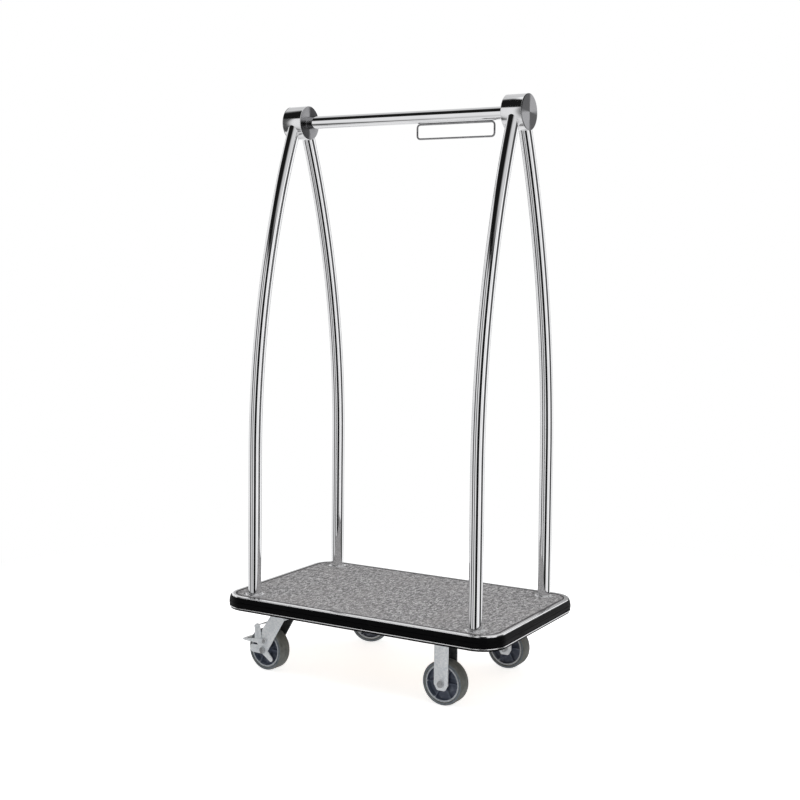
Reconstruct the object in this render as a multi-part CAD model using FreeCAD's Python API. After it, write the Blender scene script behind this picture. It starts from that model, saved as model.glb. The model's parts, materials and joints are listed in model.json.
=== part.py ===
import FreeCAD, Part
import math
import os

# Hotel luggage cart: a carpeted platform on four casters, two bowed tube arches that meet in drums,
# and a straight bar between the drums with a rod loop under it.
# Millimetres. +X along the platform towards its rigid casters, +Y to the back, +Z up.
# The origin is on the floor, under the middle of the platform.

V = FreeCAD.Vector
UP = V(0, 0, 1)
ALONG = V(1, 0, 0)
ACROSS = V(0, 1, 0)

# Overall size
LENGTH = 1000.0
WIDTH = 620.0
HEIGHT = 1850.0

# Platform, from the rails up
RAIL_BOTTOM = 203.0
RAIL_HEIGHT = 20.0
RAIL_WALL = 2.0
SIDE_RAIL_HALF_LENGTH = 455.0
SIDE_RAIL_INNER = 174.0
SIDE_RAIL_OUTER = 274.0
CROSS_RAIL_WIDTH = 40.0
BOARD_THICK = 18.0
CARPET_THICK = 5.5
PILE_RISE = 0.8
PILE_GAP = 1.0
BUMPER_BULGE = 8.5
BUMPER_BOTTOM = 203.6
BUMPER_TOP = 243.2
BUMPER_LIP = 4.5
GROOVE_DEPTH = 1.2
TRIM_WALL = 2.0
TRIM_LIP = 12.0
TRIM_THICK = 1.6
TRIM_FOLD = 2.0
CORNER_RADIUS = 75.0
STRIP_BOTTOM = 209.6
STRIP_HEIGHT = 2.8
STRIP_INNER = 2.5
STRIP_OUTER = 7.9

# Arches, drums and top bar
TUBE_RADIUS = 21.0
TUBE_WALL = 1.5
LEG_X = 404.0
LEG_Y = 246.0
BEND_START = 706.0
BEND_RADIUS = 2820.0
DRUM_RADIUS = 56.0
DRUM_WALL = 3.0
DRUM_LENGTH = 72.0
CAP_THICK = 3.0
CAP_CHAMFER = 1.0
CAP_SPIGOT = 6.0
BAR_ENTRY = 17.0
FLANGE_RADIUS = 31.0
FLANGE_THICK = 2.2
COLLAR_RADIUS = 22.8
COLLAR_HEIGHT = 6.5
FOOT_SCREW_CIRCLE = 27.0
FOOT_SCREW_HEAD = 2.8
FOOT_SCREW_SHANK = 1.8
FOOT_SCREW_DEPTH = 16.0

# Rod loop under the bar
LOOP_LEFT = 47.5
LOOP_RIGHT = 321.5
LOOP_BOTTOM = 1725.0
LOOP_CORNER = 12.0
ROD_RADIUS = 3.0
ROD_SEAT = 0.3

# Casters
WHEEL_RADIUS = 68.0
WHEEL_WIDTH = 50.0
TREAD_INNER = 57.0
TREAD_ROUND = 7.5
RIM_THICK = 5.0
RIM_RECESS = 3.0
WEB_HALF = 3.0
BOSS_RADIUS = 17.0
RIB_COUNT = 6
RIB_THICK = 3.5
RIB_HALF = 15.0
BEARING_RADIUS = 11.0
AXLE_RADIUS = 6.0
RUNNING_GAP = 0.05
SIDE_GAP = 0.5
FORK_GAP = 54.0
FORK_STEEL = 3.5
HEX_AXLE = 19.0
HEX_AXLE_THICK = 7.5
RIGID_X = 292.0
SWIVEL_X = -309.0
CASTER_Y = 218.0
RIGID_FORK_WIDTH = 48.0
RIGID_TOE_WIDTH = 25.0
RIGID_TOE_RISE = 18.0
RIGID_TOE_DROP = 20.0
PLATE_X = 105.0
PLATE_Y = 85.0
PLATE_THICK = 4.0
PLATE_CORNER = 8.0
BOLT_X = 40.0
BOLT_Y = 31.0
BOLT_RADIUS = 4.0
BOLT_HOLE = 4.3
BOLT_HEX = 13.0
BOLT_HEAD = 5.5
NUT_THICK = 6.0
BOLT_END = 1.5

# Swivel casters and their brakes
TRAIL = 58.0
FRONT_SWIVEL_TURN = -5.0
BACK_SWIVEL_TURN = -158.0
RACE_RADIUS = 34.0
RACE_HEIGHT = 8.0
RACE_GAP = 0.3
CUP_RADIUS = 37.0
CUP_HEIGHT = 7.7
CROWN_THICK = 5.0
CROWN_HALF = 30.0
KINGPIN_RADIUS = 6.0
KINGPIN_HEAD_RADIUS = 11.0
KINGPIN_HEAD = 7.0
FORK_TOE = 15.0
FORK_KNEE = (-7.0, 66.0)
HOOD_LOW = (-41.0, 71.0)
HOOD_HIGH = (-3.0, 84.0)
HOOD_THICK = 3.0
SIDE_PLATE_THICK = 2.5
CHEEK_GAP = 0.6
CHEEK_THICK = 2.4
BRAKE_PIVOT = (6.0, 30.0)
BRAKE_PIN_RADIUS = 4.0
BRAKE_PIN_HEAD = 7.0
PEDAL_INNER = 74.0
PEDAL_OUTER = 88.0
PEDAL_BOTTOM = 22.0
PEDAL_THICK = 4.0
PEDAL_ROUND = 6.0

# Worked out from the dimensions above
HALF_X = LENGTH / 2 - BUMPER_BULGE
HALF_Y = WIDTH / 2 - BUMPER_BULGE
BOARD_BOTTOM = RAIL_BOTTOM + RAIL_HEIGHT
BOARD_TOP = BOARD_BOTTOM + BOARD_THICK
CARPET_TOP = BOARD_TOP + CARPET_THICK
BAR_Z = HEIGHT - DRUM_RADIUS
DRUM_INNER_X = LEG_X - DRUM_LENGTH / 2
DRUM_OUTER_X = LEG_X + DRUM_LENGTH / 2
PLATE_BOTTOM = RAIL_BOTTOM - PLATE_THICK
RACE_BOTTOM = PLATE_BOTTOM - RACE_HEIGHT
CUP_TOP = RACE_BOTTOM - RACE_GAP
CROWN_TOP = CUP_TOP - CUP_HEIGHT
CROWN_BOTTOM = CROWN_TOP - CROWN_THICK
FORK_OUTER = FORK_GAP / 2 + FORK_STEEL
PLATES_OUTER = FORK_OUTER + SIDE_PLATE_THICK
CHEEK_INNER = PLATES_OUTER + CHEEK_GAP
CHEEK_OUTER = CHEEK_INNER + CHEEK_THICK
SIDES = ((-1, "front"), (1, "back"))
ENDS = ((-1, "left"), (1, "right"))


def save(name, shape):
    """Write one sub-part, and say how many solids it holds and their volume."""
    shape.exportStep(f"parts/{name}.step")
    print(f"{name}: {len(shape.Solids)} solid(s), {shape.Volume / 1000:.1f} cm3, valid {shape.isValid()}")


def box(low, high):
    """A block between two opposite corners."""
    size = V(*high) - V(*low)
    return Part.makeBox(size.x, size.y, size.z, V(*low))


def rod(radius, start, end):
    """A round bar between two points."""
    way = V(*end) - V(*start)
    return Part.makeCylinder(radius, way.Length, V(*start), way)


def pipe(outer, inner, start, end):
    """A round tube between two points."""
    return rod(outer, start, end).cut(rod(inner, start, end))


def joined(pieces):
    """One solid from pieces that touch or overlap."""
    whole = pieces[0].multiFuse(pieces[1:]) if len(pieces) > 1 else pieces[0]
    return whole.removeSplitter()


def turned(shape, degrees, axis=UP, centre=(0, 0, 0)):
    """A copy turned about an axis."""
    copy = shape.copy()
    copy.rotate(V(*centre), axis, degrees)
    return copy


def moved(shape, x, y, z=0):
    """A copy shifted by x, y, z."""
    copy = shape.copy()
    copy.translate(V(x, y, z))
    return copy


def face(steps, place):
    """A flat face. Each step is a point, or a pair of points for an arc; place puts a point in space."""
    ends = [place(*(step[1] if isinstance(step[0], tuple) else step)) for step in steps]
    edges = []
    for index, step in enumerate(steps):
        start = ends[index - 1]
        if isinstance(step[0], tuple):
            edges.append(Part.Arc(start, place(*step[0]), ends[index]).toShape())
        else:
            edges.append(Part.LineSegment(start, ends[index]).toShape())
    return Part.Face(Part.Wire(edges))


def rounded_block(half_x, half_y, radius, bottom, top):
    """A flat block whose four upright corners are round."""
    block = box((-half_x, -half_y, bottom), (half_x, half_y, top))
    upright = [edge for edge in block.Edges if abs(edge.BoundBox.ZLength - (top - bottom)) < 1e-6]
    return block.makeFillet(radius, upright)


def edge_ring(steps):
    """A strip round the platform's edge. Its section is drawn in (outward, height)."""
    run_x = HALF_X - CORNER_RADIUS
    run_y = HALF_Y - CORNER_RADIUS
    pieces = []
    for quarter in range(4):
        turn = 90 * quarter
        run, across = (run_y, run_x) if quarter % 2 else (run_x, run_y)
        start = face(steps, lambda out, height: V(-run, -(across + CORNER_RADIUS + out), height))
        side = start.extrude(ALONG * (2 * run))
        corner = moved(start, 2 * run, 0).revolve(V(run, -across, 0), UP, 90)
        pieces += [turned(side, turn), turned(corner, turn)]
    return joined(pieces)


def hexagon(across_flats, thickness, centre, axis):
    """A bolt head or a nut without its hole, standing on centre along axis."""
    reach = across_flats / math.sqrt(3)
    corners = [V(reach * math.cos(math.radians(60 * k)), reach * math.sin(math.radians(60 * k)), 0)
               for k in range(7)]
    block = Part.Face(Part.makePolygon(corners)).extrude(UP * thickness)
    block = block.common(Part.makeCone(across_flats / 2 + 3 * thickness, across_flats / 2, thickness))
    block.Placement = FreeCAD.Placement(V(*centre), FreeCAD.Rotation(UP, axis))
    return block


def blade(start, end, start_radius, end_radius, inner, outer):
    """A flat bar with round ends in the XZ plane, from inner to outer along Y."""
    way = V(end[0] - start[0], 0, end[1] - start[1])
    side = V(-way.z, 0, way.x) * (1 / way.Length)
    first = V(start[0], inner, start[1])
    last = V(end[0], inner, end[1])
    corners = [first + side * start_radius, last + side * end_radius,
               last - side * end_radius, first - side * start_radius]
    flat = Part.Face(Part.makePolygon(corners + corners[:1])).extrude(ACROSS * (outer - inner))
    ends = [rod(radius, (point[0], inner, point[1]), (point[0], outer, point[1]))
            for point, radius in ((start, start_radius), (end, end_radius))]
    return joined([flat] + ends)


def both_sides(shape):
    """The shape and its mirror image across the caster's middle plane."""
    return [shape, shape.mirror(V(0, 0, 0), ACROSS)]


# ---- platform ----

def leg_places():
    """Name and sign of each leg, by end and side."""
    for end_sign, end in ENDS:
        for side_sign, side in SIDES:
            yield f"{side}_{end}", end_sign, side_sign


def foot_screws():
    """Pan-head screws through the four foot flanges into the board."""
    seat = CARPET_TOP + FLANGE_THICK
    screws = []
    for _, end_sign, side_sign in leg_places():
        for quarter in range(4):
            angle = math.radians(90 * quarter)
            x = end_sign * LEG_X + FOOT_SCREW_CIRCLE * math.cos(angle)
            y = side_sign * LEG_Y + FOOT_SCREW_CIRCLE * math.sin(angle)
            shank = rod(FOOT_SCREW_SHANK, (x, y, seat - FOOT_SCREW_DEPTH), (x, y, seat))
            ball = Part.makeSphere(FOOT_SCREW_HEAD * 1.25, V(x, y, seat - FOOT_SCREW_HEAD * 0.75))
            dome = ball.common(rod(FOOT_SCREW_HEAD, (x, y, seat), (x, y, seat + FOOT_SCREW_HEAD)))
            screws.append(joined([shank, dome]))
    return screws


def leg_cores():
    """Full rods where the legs pass through the platform."""
    top = CARPET_TOP + 20
    return [rod(TUBE_RADIUS, (sx * LEG_X, sy * LEG_Y, BOARD_BOTTOM), (sx * LEG_X, sy * LEG_Y, top))
            for _, sx, sy in leg_places()]


def side_rail(side_sign):
    """A flat box section under the board, with clearance holes for the caster bolts."""
    low = (-SIDE_RAIL_HALF_LENGTH, SIDE_RAIL_INNER, RAIL_BOTTOM)
    high = (SIDE_RAIL_HALF_LENGTH, SIDE_RAIL_OUTER, BOARD_BOTTOM)
    inside = box((low[0], low[1] + RAIL_WALL, low[2] + RAIL_WALL),
                 (high[0], high[1] - RAIL_WALL, high[2] - RAIL_WALL))
    rail = box(low, high).cut(inside)
    if side_sign < 0:
        rail = rail.mirror(V(0, 0, 0), ACROSS)
    holes = [rod(BOLT_HOLE, (x, y, RAIL_BOTTOM), (x, y, RAIL_BOTTOM + RAIL_WALL))
             for x, y in bolt_places() if y * side_sign > 0]
    return rail.cut(holes)


def cross_rail(end_sign):
    """A box section between the side rails, under one arch."""
    half = CROSS_RAIL_WIDTH / 2
    outer = box((-half, -SIDE_RAIL_INNER, RAIL_BOTTOM), (half, SIDE_RAIL_INNER, BOARD_BOTTOM))
    inner = box((-half + RAIL_WALL, -SIDE_RAIL_INNER, RAIL_BOTTOM + RAIL_WALL),
                (half - RAIL_WALL, SIDE_RAIL_INNER, BOARD_BOTTOM - RAIL_WALL))
    return moved(outer.cut(inner), end_sign * LEG_X, 0)


def platform_layer(inset, bottom, top):
    """A layer of the platform, inset from the edge, pierced by the legs and the foot screws."""
    layer = rounded_block(HALF_X - inset, HALF_Y - inset, CORNER_RADIUS - inset, bottom, top)
    return layer.cut(leg_cores() + foot_screws())


def carpet():
    """Carpet: pressed flat under the edging's lip and the foot flanges, a little higher between them."""
    pressed = platform_layer(TRIM_WALL, BOARD_TOP, CARPET_TOP)
    inset = TRIM_LIP + PILE_GAP
    pile_top = CARPET_TOP + PILE_RISE
    pile = rounded_block(HALF_X - inset, HALF_Y - inset, CORNER_RADIUS - inset, CARPET_TOP, pile_top)
    clear = [rod(FLANGE_RADIUS + PILE_GAP, (sx * LEG_X, sy * LEG_Y, BOARD_TOP),
                 (sx * LEG_X, sy * LEG_Y, pile_top + 1))
             for _, sx, sy in leg_places()]
    return joined([pressed, pile.cut(clear)])


def edge_trim():
    """Stainless edging: a wall behind the bumper and a lip folded over the carpet's edge."""
    lip_top = CARPET_TOP + TRIM_THICK
    return edge_ring([(-TRIM_WALL, BUMPER_BOTTOM), (0, BUMPER_BOTTOM), (0, BUMPER_TOP + 0.2),
                      (TRIM_FOLD, BUMPER_TOP + 0.2), (TRIM_FOLD, lip_top - 1.2),
                      ((TRIM_FOLD - 0.4, lip_top - 0.4), (TRIM_FOLD - 1.2, lip_top)),
                      (-TRIM_LIP, lip_top), (-TRIM_LIP, CARPET_TOP), (-TRIM_WALL, CARPET_TOP)])


def bumper():
    """Rubber edge strip with a bulged face, two shallow grooves and a slot for the bright strip."""
    middle = (BUMPER_BOTTOM + BUMPER_TOP) / 2
    body = edge_ring([(0, BUMPER_BOTTOM), (BUMPER_LIP, BUMPER_BOTTOM),
                      ((BUMPER_BULGE, middle), (BUMPER_LIP, BUMPER_TOP)), (0, BUMPER_TOP)])
    beyond = BUMPER_BULGE + 2
    strip_top = STRIP_BOTTOM + STRIP_HEIGHT
    cuts = [edge_ring([(STRIP_INNER, STRIP_BOTTOM), (beyond, STRIP_BOTTOM), (beyond, strip_top),
                       (STRIP_INNER, strip_top)])]
    for third in (-1, 1):
        height = middle + third * (BUMPER_TOP - BUMPER_BOTTOM) / 6
        depth = BUMPER_BULGE - GROOVE_DEPTH
        cuts.append(edge_ring([(depth - 0.4, height), (beyond, height - 1.6), (beyond, height + 1.6)]))
    return body.cut(cuts)


def bumper_strip():
    """Bright strip pressed into the bumper near its lower edge."""
    top = STRIP_BOTTOM + STRIP_HEIGHT
    rounded = ((STRIP_OUTER, (STRIP_BOTTOM + top) / 2), (STRIP_OUTER - 1, top))
    return edge_ring([(STRIP_INNER, STRIP_BOTTOM), (STRIP_OUTER - 1, STRIP_BOTTOM), rounded,
                      (STRIP_INNER, top)])


# ---- arches, drums and bar ----

def drum_solid(end_sign, radius=DRUM_RADIUS):
    """The drum's outer shape as a full cylinder."""
    return rod(radius, (end_sign * DRUM_INNER_X, 0, BAR_Z), (end_sign * DRUM_OUTER_X, 0, BAR_Z))


def leg(end_sign, side_sign):
    """A tube that stands on the side rail, then bends in one long arc to the underside of its drum."""
    foot = (0, LEG_Y, BOARD_BOTTOM)
    knee = (0, LEG_Y, BEND_START)
    sweep = math.degrees(math.asin((BAR_Z - BEND_START) / BEND_RADIUS))
    rounds = []
    for radius in (TUBE_RADIUS, TUBE_RADIUS - TUBE_WALL):
        disc = Part.Face(Part.Wire(Part.makeCircle(radius, V(*knee), UP)))
        arc = disc.revolve(V(0, LEG_Y - BEND_RADIUS, BEND_START), ALONG, sweep)
        rounds.append(joined([rod(radius, foot, knee), arc]))
    tube = rounds[0].cut(rounds[1])
    if side_sign < 0:
        tube = tube.mirror(V(0, 0, 0), ACROSS)
    return moved(tube, end_sign * LEG_X, 0).cut(drum_solid(end_sign))


def foot_flange(end_sign, side_sign):
    """A thin round rosette with a low collar round the leg."""
    low = CARPET_TOP
    ring = face([(TUBE_RADIUS, low), (FLANGE_RADIUS, low), (FLANGE_RADIUS, low + 1.2),
                 (FLANGE_RADIUS - 1, low + FLANGE_THICK), (COLLAR_RADIUS + 2, low + FLANGE_THICK),
                 ((COLLAR_RADIUS + 0.6, low + FLANGE_THICK + 0.6), (COLLAR_RADIUS, low + FLANGE_THICK + 2)),
                 (COLLAR_RADIUS, low + COLLAR_HEIGHT - 1), (COLLAR_RADIUS - 1, low + COLLAR_HEIGHT),
                 (TUBE_RADIUS, low + COLLAR_HEIGHT)], lambda r, z: V(r, 0, z))
    flange = ring.revolve(V(0, 0, 0), UP, 360)
    return moved(flange, end_sign * LEG_X, side_sign * LEG_Y).cut(foot_screws())


def drum_shell(end_sign):
    """The drum's round wall and its inner end, with a hole for the bar."""
    wall_end = DRUM_OUTER_X - CAP_THICK
    outside = drum_solid(1).cut(box((wall_end, -100, BAR_Z - 100), (DRUM_OUTER_X + 1, 100, BAR_Z + 100)))
    hollow = rod(DRUM_RADIUS - DRUM_WALL, (DRUM_INNER_X + DRUM_WALL, 0, BAR_Z), (wall_end, 0, BAR_Z))
    hole = rod(TUBE_RADIUS, (DRUM_INNER_X - 1, 0, BAR_Z), (DRUM_INNER_X + DRUM_WALL + 1, 0, BAR_Z))
    rim = max((edge for edge in outside.Edges if abs(edge.BoundBox.XMax - DRUM_INNER_X) < 1e-6),
              key=lambda edge: edge.Length)
    shell = outside.makeChamfer(CAP_CHAMFER, [rim]).cut([hollow, hole])
    return shell if end_sign > 0 else turned(shell, 180)


def drum_cap(end_sign):
    """The drum's outer end: a disc with a spigot that sits inside the wall."""
    seat = DRUM_OUTER_X - CAP_THICK
    inner = DRUM_RADIUS - DRUM_WALL
    disc = rod(DRUM_RADIUS, (seat, 0, BAR_Z), (DRUM_OUTER_X, 0, BAR_Z))
    rim = [edge for edge in disc.Edges if abs(edge.BoundBox.XMin - DRUM_OUTER_X) < 1e-6]
    spigot = pipe(inner, inner - CAP_THICK, (seat - CAP_SPIGOT, 0, BAR_Z), (seat, 0, BAR_Z))
    cap = joined([disc.makeChamfer(CAP_CHAMFER, rim), spigot])
    return cap if end_sign > 0 else turned(cap, 180)


def top_bar():
    """The straight bar, with both ends inside the drums."""
    end = DRUM_INNER_X + BAR_ENTRY
    return pipe(TUBE_RADIUS, TUBE_RADIUS - TUBE_WALL, (-end, 0, BAR_Z), (end, 0, BAR_Z))


def hanger_loop():
    """A closed rod loop with round corners; its top run is seated on the bar's underside."""
    top = BAR_Z - TUBE_RADIUS - ROD_RADIUS + ROD_SEAT
    bend = LOOP_CORNER
    pieces = []
    for z in (LOOP_BOTTOM, top):
        pieces.append(rod(ROD_RADIUS, (LOOP_LEFT + bend, 0, z), (LOOP_RIGHT - bend, 0, z)))
    for x in (LOOP_LEFT, LOOP_RIGHT):
        pieces.append(rod(ROD_RADIUS, (x, 0, LOOP_BOTTOM + bend), (x, 0, top - bend)))
    for x, side in ((LOOP_LEFT + bend, -1), (LOOP_RIGHT - bend, 1)):
        for z, rise in ((LOOP_BOTTOM + bend, -1), (top - bend, 1)):
            disc = Part.Face(Part.Wire(Part.makeCircle(ROD_RADIUS, V(x + side * bend, 0, z), UP)))
            pieces.append(disc.revolve(V(x, 0, z), ACROSS, -90 * side * rise))
    return joined(pieces).cut(rod(TUBE_RADIUS, (LOOP_LEFT, 0, BAR_Z), (LOOP_RIGHT, 0, BAR_Z)))


# ---- casters, each drawn with its kingpin on the Z axis and its wheel towards -X ----

def wheel_piece(steps):
    """A ring about the wheel's axis, from a section drawn in (radius, across)."""
    return face(steps, lambda radius, across: V(radius, across, 0)).revolve(V(0, 0, 0), ACROSS, 360)


def tyre():
    """The tread: a thick ring with round shoulders."""
    half = WHEEL_WIDTH / 2
    turn = TREAD_ROUND * (1 - math.sqrt(0.5))
    return wheel_piece([(TREAD_INNER, -half + 2), (TREAD_INNER + 2, -half),
                        (WHEEL_RADIUS - TREAD_ROUND, -half),
                        ((WHEEL_RADIUS - turn, -half + turn), (WHEEL_RADIUS, -half + TREAD_ROUND)),
                        (WHEEL_RADIUS, half - TREAD_ROUND),
                        ((WHEEL_RADIUS - turn, half - turn), (WHEEL_RADIUS - TREAD_ROUND, half)),
                        (TREAD_INNER + 2, half), (TREAD_INNER, half - 2)])


def wheel_hub():
    """Moulded wheel centre: rim, web, ribs and boss."""
    rim_half = WHEEL_WIDTH / 2 - RIM_RECESS
    boss_half = FORK_GAP / 2 - SIDE_GAP
    rim_inner = TREAD_INNER - RIM_THICK
    rim = pipe(TREAD_INNER, rim_inner, (0, -rim_half, 0), (0, rim_half, 0))
    web = rod(rim_inner + 1, (0, -WEB_HALF, 0), (0, WEB_HALF, 0))
    boss = rod(BOSS_RADIUS, (0, -boss_half, 0), (0, boss_half, 0))
    rib = box((BOSS_RADIUS - 2, -RIB_HALF, -RIB_THICK / 2), (rim_inner + 1, RIB_HALF, RIB_THICK / 2))
    ribs = [turned(rib, 360 / RIB_COUNT * k, ACROSS) for k in range(RIB_COUNT)]
    bore = rod(BEARING_RADIUS, (0, -boss_half - 1, 0), (0, boss_half + 1, 0))
    return joined([rim, web, boss] + ribs).cut(bore)


def wheel_bearing():
    """Plain bearing sleeve that turns on the axle."""
    half = FORK_GAP / 2 - SIDE_GAP
    return pipe(BEARING_RADIUS, AXLE_RADIUS + RUNNING_GAP, (0, -half, 0), (0, half, 0))


def axle_bolt(seat):
    """Axle bolt with its head on the -Y side, seated at distance seat from the middle plane."""
    head = hexagon(HEX_AXLE, HEX_AXLE_THICK, (0, -seat, 0), V(0, -1, 0))
    return joined([head, rod(AXLE_RADIUS, (0, -seat, 0), (0, seat + HEX_AXLE_THICK + 2, 0))])


def axle_nut(seat):
    """Nut on the far end of the axle bolt."""
    nut = hexagon(HEX_AXLE, HEX_AXLE_THICK, (0, seat, 0), ACROSS)
    return nut.cut(rod(AXLE_RADIUS, (0, seat, 0), (0, seat + HEX_AXLE_THICK, 0)))


def mounting_plate():
    """Top plate with four bolt holes, under the side rail."""
    plate = rounded_block(PLATE_X / 2, PLATE_Y / 2, PLATE_CORNER, PLATE_BOTTOM, RAIL_BOTTOM)
    return plate.cut([rod(BOLT_HOLE, (x, y, PLATE_BOTTOM), (x, y, RAIL_BOTTOM))
                      for x in (-BOLT_X, BOLT_X) for y in (-BOLT_Y, BOLT_Y)])


def bolt_places():
    """Centres of the caster bolts on the side rails."""
    for x in (SWIVEL_X, RIGID_X):
        for y in (-CASTER_Y, CASTER_Y):
            for bolt_x in (-BOLT_X, BOLT_X):
                for bolt_y in (-BOLT_Y, BOLT_Y):
                    yield x + bolt_x, y + bolt_y


def caster_bolts():
    """Hexagon bolts, heads under the caster plates."""
    top = RAIL_BOTTOM + RAIL_WALL + NUT_THICK + BOLT_END
    return [joined([hexagon(BOLT_HEX, BOLT_HEAD, (x, y, PLATE_BOTTOM), -UP),
                    rod(BOLT_RADIUS, (x, y, PLATE_BOTTOM), (x, y, top))]) for x, y in bolt_places()]


def caster_nuts():
    """Nuts inside the side rails."""
    bottom = RAIL_BOTTOM + RAIL_WALL
    return [hexagon(BOLT_HEX, NUT_THICK, (x, y, bottom), UP)
            .cut(rod(BOLT_RADIUS, (x, y, bottom), (x, y, bottom + NUT_THICK))) for x, y in bolt_places()]


def rigid_fork():
    """Bent steel fork of a fixed caster, welded to its mounting plate."""
    half = RIGID_FORK_WIDTH / 2
    toe = RIGID_TOE_WIDTH / 2
    shoulder = WHEEL_RADIUS - 2
    low = WHEEL_RADIUS - RIGID_TOE_DROP
    steps = [(-half, PLATE_BOTTOM), (-half, shoulder), (-toe - 3, low + 3),
             ((-toe, low + 0.6), (-toe + 4, low)), (toe - 4, low), ((toe, low + 0.6), (toe + 3, low + 3)),
             (half, shoulder), (half, PLATE_BOTTOM)]
    cheek = face(steps, lambda x, z: V(x, FORK_GAP / 2, z)).extrude(ACROSS * FORK_STEEL)
    bridge = box((-half, -FORK_OUTER, PLATE_BOTTOM - FORK_STEEL), (half, FORK_OUTER, PLATE_BOTTOM))
    hole = rod(AXLE_RADIUS, (0, -FORK_OUTER - 1, WHEEL_RADIUS), (0, FORK_OUTER + 1, WHEEL_RADIUS))
    return joined(both_sides(cheek) + [bridge, mounting_plate()]).cut(hole)


def swivel_plate():
    """Mounting plate with the upper race of the swivel."""
    race = rod(RACE_RADIUS, (0, 0, RACE_BOTTOM), (0, 0, PLATE_BOTTOM))
    hole = rod(KINGPIN_RADIUS, (0, 0, RACE_BOTTOM - 1), (0, 0, RAIL_BOTTOM + 1))
    return joined([mounting_plate(), race]).cut(hole)


def kingpin():
    """Kingpin held in the plate, with a round nut under the fork's crown."""
    top = CROWN_BOTTOM - RACE_GAP
    nut = rod(KINGPIN_HEAD_RADIUS, (0, 0, top - KINGPIN_HEAD), (0, 0, top))
    return joined([nut, rod(KINGPIN_RADIUS, (0, 0, top), (0, 0, RAIL_BOTTOM))])


def swivel_fork():
    """Turning fork: race cup, crown and two leaning cheeks that taper to the axle."""
    cup = rod(CUP_RADIUS, (0, 0, CROWN_TOP), (0, 0, CUP_TOP))
    crown = box((-CROWN_HALF, -FORK_OUTER, CROWN_BOTTOM), (CROWN_HALF, FORK_OUTER, CROWN_TOP))
    lean = V(TRAIL, 0, CROWN_BOTTOM - WHEEL_RADIUS).normalize()
    toe_x = FORK_TOE * lean.z
    toe_z = FORK_TOE * lean.x
    cheek = face([(-CROWN_HALF, CROWN_TOP), (-TRAIL + FORK_KNEE[0], WHEEL_RADIUS + FORK_KNEE[1]),
                  (-TRAIL - toe_x, WHEEL_RADIUS + toe_z),
                  ((-TRAIL - FORK_TOE * lean.x, WHEEL_RADIUS - FORK_TOE * lean.z),
                   (-TRAIL + toe_x, WHEEL_RADIUS - toe_z)), (CROWN_HALF, CROWN_TOP)],
                 lambda x, z: V(x, FORK_GAP / 2, z)).extrude(ACROSS * FORK_STEEL)
    pivot_x = BRAKE_PIVOT[0] - TRAIL
    pivot_z = BRAKE_PIVOT[1] + WHEEL_RADIUS
    cuts = [rod(KINGPIN_RADIUS + RUNNING_GAP, (0, 0, CROWN_BOTTOM - 1), (0, 0, CUP_TOP + 1)),
            rod(AXLE_RADIUS, (-TRAIL, -FORK_OUTER - 1, WHEEL_RADIUS), (-TRAIL, FORK_OUTER + 1, WHEEL_RADIUS)),
            rod(BRAKE_PIN_RADIUS, (pivot_x, -FORK_OUTER - 1, pivot_z), (pivot_x, FORK_OUTER + 1, pivot_z))]
    return joined([cup, crown] + both_sides(cheek)).cut(cuts)


def brake_plates():
    """Brake housing fixed to the fork: a plate with a guard arm on each side, and a hood between them."""
    pieces = []
    for sign in (-1, 1):
        inner, outer = sorted((sign * FORK_OUTER, sign * PLATES_OUTER))
        rear = blade((0, 0), (-44, 0), 13, 13, inner, outer)
        riser = blade((-8, 8), (-22, 36), 10, 12, inner, outer)
        upper = blade((-22, 36), (-25, 72), 14, 12, inner, outer)
        guard = blade((0, 0), (32, -25), 13, 8, inner, outer)
        hole = rod(AXLE_RADIUS, (0, inner, 0), (0, outer, 0))
        pieces.append(joined([rear, riser, upper, guard]).cut(hole))
    (low_x, low_z), (high_x, high_z) = HOOD_LOW, HOOD_HIGH
    corners = [(low_x, low_z), (high_x, high_z), (high_x, high_z + HOOD_THICK), (low_x, low_z + HOOD_THICK)]
    hood = face(corners, lambda x, z: V(x, -PLATES_OUTER, z)).extrude(ACROSS * 2 * PLATES_OUTER)
    return moved(joined(pieces + [hood]), -TRAIL, 0, WHEEL_RADIUS)


def brake_pins():
    """Shouldered pins on the fork's cheeks, which the pedal turns on."""
    pins = []
    for sign in (-1, 1):
        layers = ((BRAKE_PIN_RADIUS, FORK_GAP / 2, FORK_OUTER),
                  (BRAKE_PIN_HEAD, FORK_OUTER, CHEEK_INNER - 0.3),
                  (BRAKE_PIN_RADIUS, CHEEK_INNER - 0.3, CHEEK_OUTER + 0.3),
                  (BRAKE_PIN_HEAD, CHEEK_OUTER + 0.3, CHEEK_OUTER + 2.3))
        pin = joined([rod(radius, (0, sign * start, 0), (0, sign * end, 0)) for radius, start, end in layers])
        pins.append(moved(pin, BRAKE_PIVOT[0] - TRAIL, 0, BRAKE_PIVOT[1] + WHEEL_RADIUS))
    return pins


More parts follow.
